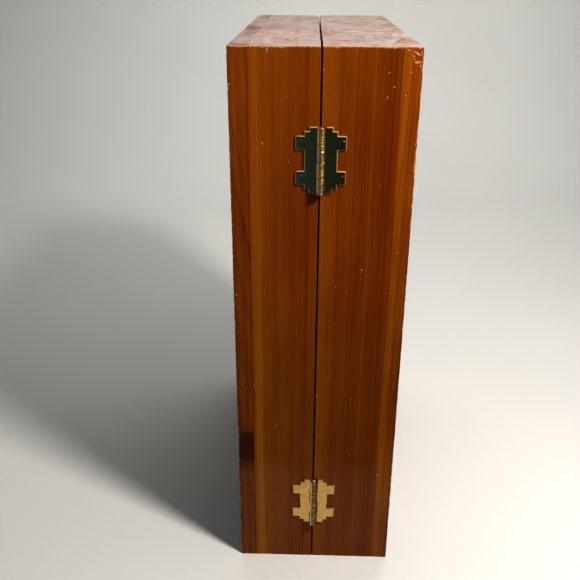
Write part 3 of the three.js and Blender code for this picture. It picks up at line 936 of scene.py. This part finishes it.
def worn_places(n):
    """Where the varnish is gone: broken edges everywhere, and this block's dings on the spine."""
    gaps = []
    for value, low, high in zip((n.px, n.py, n.pz), n.half_low, n.half_high):
        gaps.append(n.math("MINIMUM", n.minus(value, low), n.minus(high, value)))
    fold_gap = n.math("ABSOLUTE", n.minus(n.px, n.fold_x))
    gaps[0] = n.plus(gaps[0], n.ramp(fold_gap, 0, 6, 1.5, 0.0))
    least = n.math("MINIMUM", gaps[0], gaps[1])
    most = n.math("MAXIMUM", gaps[0], gaps[1])
    edge = n.math("MAXIMUM", least, n.math("MINIMUM", most, gaps[2]))
    reach = n.plus(n.swing(n.patch, 3.0), n.swing(n.grit, 1.6))
    worn = n.ramp(n.minus(edge, reach), -0.25, 0.35, 1.0, 0.0)

    # The spine's top edge is rubbed all along
    top_edge = n.math("MAXIMUM", n.minus(n.half_high.z, n.pz), n.times(n.minus(n.py, SPINE_Y), 0.3))
    rubbed = n.ramp(n.plus(top_edge, n.swing(n.grit, 4.5)), 0.10, 0.50, 1.0, 0.0)
    worn = n.math("MAXIMUM", worn, n.times(rubbed, n.ramp(n.patch, 0.2, 0.45, 0.5, 1.0)))

    on_spine = n.ramp(n.py, SPINE_Y + 0.6, SPINE_Y + 1.2, 1.0, 0.0)
    for ding in dings_on(n.low, n.high):
        raggedness = 0.6 if ding[2] > WIDE_DING else 1.5
        worn = n.math("MAXIMUM", worn, n.times(spine_mark(n, *ding, raggedness), on_spine))
    return worn


def knot_field(n):
    """Distance from the knot's middle in knot radii; it narrows with depth behind the spine."""
    depth = n.ramp(n.minus(n.py, SPINE_Y), 0, KNOT["depth"], 1.0, 0.05, "LINEAR")
    across = n.math("DIVIDE", n.minus(n.px, KNOT["x"]), n.times(depth, KNOT["half_width"]))
    along = n.math("DIVIDE", n.minus(n.pz, KNOT["z"]), n.times(depth, KNOT["half_height"]))
    across = n.math("POWER", n.math("ABSOLUTE", across), 3.0)
    along = n.math("POWER", n.math("ABSOLUTE", along), 3.0)
    return n.math("POWER", n.plus(across, along), 1 / 3)


def ring_lines(n, knot):
    """Dark late wood of the growth rings about a leaning pith, pushed aside by a knot."""
    pith, tilt, wander = n.grain["pith"], n.grain["tilt"], n.grain["wander"]
    wander_y = n.texture((0.022, 0.022, 0.005), 2.0, 40)
    height = n.minus(n.pz, MIDDLE_Z)
    across_x = n.minus(n.minus(n.px, pith[0]), n.times(height, tilt[0]))
    across_y = n.minus(n.minus(n.py, pith[1]), n.times(height, tilt[1]))
    across_x = n.plus(across_x, n.swing(n.wander, 2 * wander))
    across_y = n.plus(across_y, n.swing(wander_y, 2 * wander))
    if knot is not None:
        push = n.math("DIVIDE", 0.8, n.math("MAXIMUM", n.times(knot, knot), 1.0))
        across_x = n.minus(across_x, n.times(n.minus(n.px, KNOT["x"]), push))
    radius = n.length(n.join(across_x, across_y, 0.0))
    swelling = n.noise_along(radius, 0.16, n.seed)
    count = n.plus(n.math("DIVIDE", radius, n.grain["ring"]), n.times(swelling, 3.0))
    phase = n.math("FRACT", count)
    ring_number = {"W": n.math("FLOOR", count)}
    strength = n.add("ShaderNodeTexWhiteNoise", ring_number, noise_dimensions="1D").outputs[0]
    late = n.times(n.ramp(phase, 0.45, 0.92), n.ramp(phase, 0.95, 1.0, 1.0, 0.0))
    return n.times(late, n.plus(n.times(strength, 0.8), 0.2))


def band_tone(n):
    """Tone of the slow colour bands. They follow the board's length; only the ring lines lean."""
    pith, tones = n.grain["pith"], n.grain["tones"]
    across_x = n.minus(n.plus(n.px, n.swing(n.wander, n.grain["wander"])), pith[0])
    radius = n.length(n.join(across_x, n.minus(n.py, pith[1]), 0.0))
    radii = [math.hypot(x - pith[0], SPINE_Y - pith[1]) for x, _tone in tones]
    first, last = min(radii), max(radii)
    stops = []
    for stop_radius, (_x, tone) in zip(radii, tones):
        stops.append(((stop_radius - first) / (last - first), (tone,) * 3))
    return n.colours(n.ramp(radius, first, last, 0.0, 1.0, "LINEAR"), sorted(stops))


def wood_tone(n, late):
    """The board's tone, from 0 to 1 on the palette, with its fibres, clouds and ring lines."""
    tone = n.plus(band_tone(n), n.swing(n.fibre, 0.26))
    tone = n.plus(tone, n.swing(n.fine, 0.16))
    tone = n.plus(tone, n.swing(n.texture((0.05, 0.05, 0.02), 2.0, 21), n.grain["mottle"]))
    # Painted light: the board is lighter towards the top and darker in its lower part
    tone = n.plus(tone, n.ramp(n.pz, 130, BOARD_HEIGHT, *n.grain["painted_light_lift"], "LINEAR"))
    tone = n.minus(tone, n.times(late, n.grain["lines"]))
    return n.minus(tone, n.times(n.end_grain, n.plus(n.swing(n.pores, 0.9), 0.06)))


def rubbed_ends(n, colour):
    """Pale bloom on the end grain, less of it inside the pits than on the board's two ends."""
    outside = n.ramp(n.math("MINIMUM", n.pz, n.minus(BOARD_HEIGHT, n.pz)), 1, 3, 1.0, 0.2)
    rubbed = n.times(n.ramp(n.bloom, -0.4, 0.4, 0.1, 1.7, "LINEAR"), n.end_grain)
    return n.mix(n.times(rubbed, n.times(outside, n.grain["bloom"])), colour, BLOOM)


def with_knot(n, colour, knot):
    """A dark swirled heart in a halo that fades quickly above it."""
    swirl = n.noise_along(n.plus(knot, n.times(n.grit, 0.12)), 9.0, n.seed, 2.0)
    heart = n.ramp(n.plus(knot, n.swing(n.grit, 0.25)), 0.75, 1.10, 0.95, 0.0)
    halo = n.ramp(n.plus(knot, n.swing(swirl, 0.9)), 0.9, 2.3, 0.7, 0.0)
    below = n.ramp(n.pz, KNOT["z"], KNOT["z"] + KNOT["half_height"], 1.0, 0.25)
    colour = n.mix(n.times(halo, below), colour, KNOT_HALO)
    return n.mix(heart, colour, n.mix(swirl, KNOT_COLOUR, KNOT_LINE))


def with_sapwood(n, colour):
    """The amber streak beside the left core's outer edge, strongest low down."""
    edge_x = n.plus(n.px, n.swing(n.wander, 2.0))
    streak = n.times(n.ramp(edge_x, -34.6, -33.2), n.ramp(edge_x, -30.6, -28.2, 1.0, 0.0))
    streak = n.times(streak, n.ramp(n.pz, 40, 260, 0.85, 0.25))
    return n.mix(n.times(streak, n.plus(n.fibre, 0.3)), colour, SAPWOOD)


def with_glue_lines(n, colour):
    """Glue joints show as a fine dark line."""
    outer_faces = (n.half_low.x, n.half_high.x, n.half_low.y, n.half_high.y)
    for plane, value in ((n.low.x, n.px), (n.high.x, n.px), (n.low.y, n.py), (n.high.y, n.py)):
        if plane not in outer_faces:
            off = n.math("ABSOLUTE", n.minus(value, plane))
            colour = n.mix(n.ramp(off, 0.05, 0.28, 0.35, 0.0), colour, GLUE_LINE)
    return colour


def wood_material(node, side):
    """Varnished cedar with the rings, fibres and colour bands of one board."""
    n = WoodNodes(node, side)
    knot = knot_field(n) if node == KNOT["node"] else None
    late = ring_lines(n, knot)
    colour = rubbed_ends(n, n.colours(wood_tone(n, late), PALETTE))
    # Painted reflection of the pale floor: the boards are tinted yellower below about 220 mm
    colour = n.mix(n.ramp(n.pz, 110, 220, 1.0, 0.0), colour, FLOOR_REFLECTION_TINT, "MULTIPLY")
    if knot is not None:
        colour = with_knot(n, colour, knot)
    if node == "left_core_stave_1":
        colour = with_sapwood(n, colour)
    worn = worn_places(n)
    colour = n.mix(n.times(worn, 0.85), with_glue_lines(n, colour), n.mix(n.fine, *RAW_WOOD))

    # The varnish is thin and uneven on end grain, and gone where it is worn
    roughness = n.plus(n.swing(n.fibre, 0.10), 0.16)
    roughness = n.plus(roughness, n.times(worn, 0.35))
    roughness = n.plus(roughness, n.times(n.end_grain, n.swing(n.blotches, -0.25)))
    shine = n.plus(n.times(n.end_grain, n.ramp(n.bloom, -0.4, 0.4, -0.42, 0.02, "LINEAR")), 0.5)

    height = n.plus(n.times(n.fine, 0.03), n.times(late, -0.02))
    height = n.plus(height, n.times(n.texture(0.35, 2.0, 51), 0.05))
    height = n.plus(height, n.times(worn, -0.12))
    height = n.plus(height, n.times(n.end_grain, n.times(n.minus(n.saw_marks, n.pores), 0.02)))
    return n.surface(Base_Color=colour, Roughness=roughness, IOR=1.31, Specular_IOR_Level=shine,
                     Normal=n.bump(height, 0.8, 1.0))


# Brass. Each is: two tones of the flats, tone of the rolled barrel, least roughness
BRASS_TONES = {
    # The barrel tones are painted shade: the barrels are the flats' own brass, painted darker, the lower
    # hinge's darkest
    "upper_hinge": ((0.74, 0.54, 0.27), (0.62, 0.44, 0.20), (0.42, 0.31, 0.11), 0.08),
    "lower_hinge": ((0.74, 0.51, 0.22), (0.64, 0.43, 0.17), (0.22, 0.13, 0.05), 0.12),
    "latch": ((0.74, 0.52, 0.24), (0.60, 0.40, 0.16), (0.60, 0.40, 0.16), 0.14),
    "pin": ((0.82, 0.66, 0.40), (0.70, 0.50, 0.26), (0.70, 0.50, 0.26), 0.12),
}
TARNISH_SPOT = (0.16, 0.09, 0.03)
BARREL_SHADE = (0.12, 0.08, 0.025)
# Pale painted highlight down the left side of the hinge barrels
PAINTED_LEFT_HIGHLIGHT = (0.80, 0.70, 0.62)


def brass_material(name, tone, tarnish, barrel_tone, base_roughness):
    """Lacquered stamped brass: drawn ripples on the knuckles, faint haze and tarnish on the flats."""
    n = Nodes(name)
    point = n.millimetres()
    x, y, z = n.split(point)[:3]
    haze = n.noise(point, 0.35, 3.0, 2.0)
    specks = n.noise(point, 2.5, 2.0, 7.0)
    spots = n.ramp(n.plus(specks, n.times(haze, 0.4)), 0.78, 0.92)
    colour = n.mix(haze, tone, tarnish)
    colour = n.mix(n.times(spots, 0.3), colour, TARNISH_SPOT)

    # The barrel: drawn ribs painted as light and dark stripes, painted shade on its right side and a pale
    # painted highlight along its left side
    right_of_pin = n.minus(x, HINGE_AXIS.x)
    on_barrel = n.ramp(y, HINGE_AXIS.y + 0.6, HINGE_AXIS.y + 1.1, 1.0, 0.0)
    ripple = n.noise_along(z, 0.8, 3.0, 3.0)
    # Painted highlights on the rib crests and painted shade between them, in the colour
    rib_shading = n.ramp(ripple, 0.38, 0.66)
    colour = n.mix(n.times(on_barrel, n.ramp(rib_shading, 0.0, 1.0, 0.95, 0.35)), colour, barrel_tone)
    shaded = n.times(on_barrel, n.ramp(right_of_pin, 0.5, 1.3, 0.0, 0.85))
    colour = n.mix(shaded, colour, BARREL_SHADE)
    # Painted highlight: a pale strip down the barrel's left side, kept smoother than the rest of the barrel
    left_highlight = n.times(on_barrel, n.ramp(right_of_pin, -1.35, -1.15, 1.0, 0.0))
    colour = n.mix(left_highlight, colour, PAINTED_LEFT_HIGHLIGHT)

    dents = n.noise(point, 0.12, 2.0, 12.0)
    hair_lines = n.noise(point, (6.0, 6.0, 0.7), 2.0, 19.0)
    pits = n.noise(point, 1.1, 2.0, 23.0)
    height = n.times(on_barrel, n.plus(n.times(ripple, 0.55), n.times(pits, 0.20)))
    height = n.plus(height, n.plus(n.times(dents, 0.006), n.times(hair_lines, 0.0003)))
    roughness = n.plus(n.times(haze, 0.10), base_roughness)
    barrel_roughness = n.times(on_barrel, n.ramp(left_highlight, 0.0, 1.0, 0.24, 0.06))
    roughness = n.plus(roughness, n.plus(n.times(spots, 0.06), barrel_roughness))
    return n.surface(Base_Color=colour, Metallic=1.0, Roughness=roughness, Normal=n.bump(height, 1.0, 1.0))


BRASS = {key: brass_material(f"{key}_brass", *tones) for key, tones in BRASS_TONES.items()}


# Stage, light and camera -----------------------

FLOOR_HALF_WIDTH = 4000
FLOOR_FRONT = -4000
BACKDROP_Y = 950
BACKDROP_CURVE = 350
BACKDROP_TOP = 2200

# The camera as fitted to the photo
CAMERA_LENS = 44.72
CAMERA_PLACE = Vector((-5.63, -449.27, 335.69))
CAMERA_PITCH = math.radians(24.351)
CAMERA_YAW = math.radians(1.626)
CAMERA_ROLL = math.radians(0.243)


def pale_material():
    n = Nodes("pale_paper")
    point = n.millimetres()
    mottle = n.noise(point, 0.004, 2.0)
    tooth = n.noise(point, 0.6, 2.0)
    colour = n.mix(mottle, (0.58, 0.575, 0.56), (0.64, 0.635, 0.62))
    return n.surface(Base_Color=colour, Roughness=0.8, IOR=1.3, Normal=n.bump(tooth, 0.3, 0.1))


def build_stage():
    """A floor that curves up into a backdrop behind the board."""
    curve_centre = (BACKDROP_Y - BACKDROP_CURVE, BACKDROP_CURVE)
    profile = [(FLOOR_FRONT, 0)] + arc(curve_centre, BACKDROP_CURVE, -math.pi / 2, 0, 16)
    profile.append((BACKDROP_Y, BACKDROP_TOP))
    vertices = [(x, y, z) for y, z in profile for x in (-FLOOR_HALF_WIDTH, FLOOR_HALF_WIDTH)]
    faces = [(2 * k, 2 * k + 1, 2 * k + 3, 2 * k + 2) for k in range(len(profile) - 1)]
    stage = object_from("stage", vertices, faces)
    stage.data.shade_smooth()
    stage.data.materials.append(pale_material())


def card_object(name, vertices, faces, near_colour, far_colour):
    """A glowing card that only reflections show. Its colour shades over from its left to its right."""
    card = object_from(name, vertices, faces)
    n = Nodes(name)
    shade = n.ramp(n.split(n.millimetres())[0], -20, 30)
    glow = n.add("ShaderNodeEmission", {"Color": n.mix(shade, near_colour, far_colour)})
    n.add("ShaderNodeOutputMaterial", {0: glow.outputs[0]})
    card.data.materials.append(n.material)
    card.visible_camera = False
    card.visible_diffuse = False
    card.visible_shadow = False


def build_cards():
    """A dark card in front, as a photographer's coat is, and pale cards beside and above the board."""
    rows = [(SPINE_Y - 80, 3), (SPINE_Y - 490, 3), (SPINE_Y - 490, 290)]
    vertices = [(x, y, z) for y, z in rows for x in (-130, 130)]
    faces = [(0, 1, 3, 2), (2, 3, 5, 4)]
    card_object("dark_card", vertices, faces, (0.050, 0.125, 0.170), (0.040, 0.058, 0.055))
    for name, x, glow in (("left_card", -700, (0.42, 0.39, 0.42)), ("right_card", 700, (1.1, 0.98, 0.9))):
        vertices = [(x, y, z) for y, z in ((-600, 50), (200, 50), (200, 700), (-600, 700))]
        card_object(name, vertices, [(0, 1, 2, 3)], glow, glow)
    vertices = [(x, y, 1100) for x, y in ((-100, -800), (700, -800), (700, 0), (-100, 0))]
    card_object("top_card", vertices, [(0, 1, 2, 3)], (0.9, 0.84, 0.78), (1.2, 1.1, 1.0))


def area_light(name, place, target, size, power, colour):
    light = bpy.data.lights.new(name, "AREA")
    light.shape = "DISK"
    light.size = size * MM
    light.energy = power
    light.color = colour
    obj = bpy.data.objects.new(name, light)
    obj.location = Vector(place) * MM
    obj.rotation_mode = "QUATERNION"
    obj.rotation_quaternion = (Vector(target) - Vector(place)).to_track_quat("-Z", "Y")
    obj.visible_camera = False
    bpy.context.scene.collection.objects.link(obj)


def build_lights():
    area_light("key", (339, -360, 620), (0, -80, 200), 120, 7.4, (1.0, 0.97, 0.93))
    area_light("backdrop_light", (100, 450, 1000), (0, BACKDROP_Y, 350), 800, 7.6, (1.0, 0.99, 0.98))
    world = bpy.data.worlds.new("studio")
    world.use_nodes = True
    background = world.node_tree.nodes["Background"]
    background.inputs[0].default_value = (0.92, 0.95, 0.96, 1)
    background.inputs[1].default_value = 0.2
    bpy.context.scene.world = world


def build_camera():
    camera = bpy.data.cameras.new("camera")
    camera.lens = CAMERA_LENS
    camera.sensor_width = 36
    camera.clip_start = 0.01
    camera.clip_end = 50
    obj = bpy.data.objects.new("camera", camera)
    turn = Matrix.Rotation(CAMERA_YAW, 4, "Z") @ Matrix.Rotation(math.pi / 2 - CAMERA_PITCH, 4, "X")
    roll = Matrix.Rotation(CAMERA_ROLL, 4, "Z")
    obj.matrix_world = Matrix.Translation(CAMERA_PLACE * MM) @ turn @ roll
    bpy.context.scene.collection.objects.link(obj)
    bpy.context.scene.camera = obj


build_camera()
build_boards()
build_hinges()
build_latch()
build_stage()
build_cards()
build_lights()
bpy.context.scene.view_settings.view_transform = "Standard"
bpy.context.scene.view_settings.gamma = 0.7
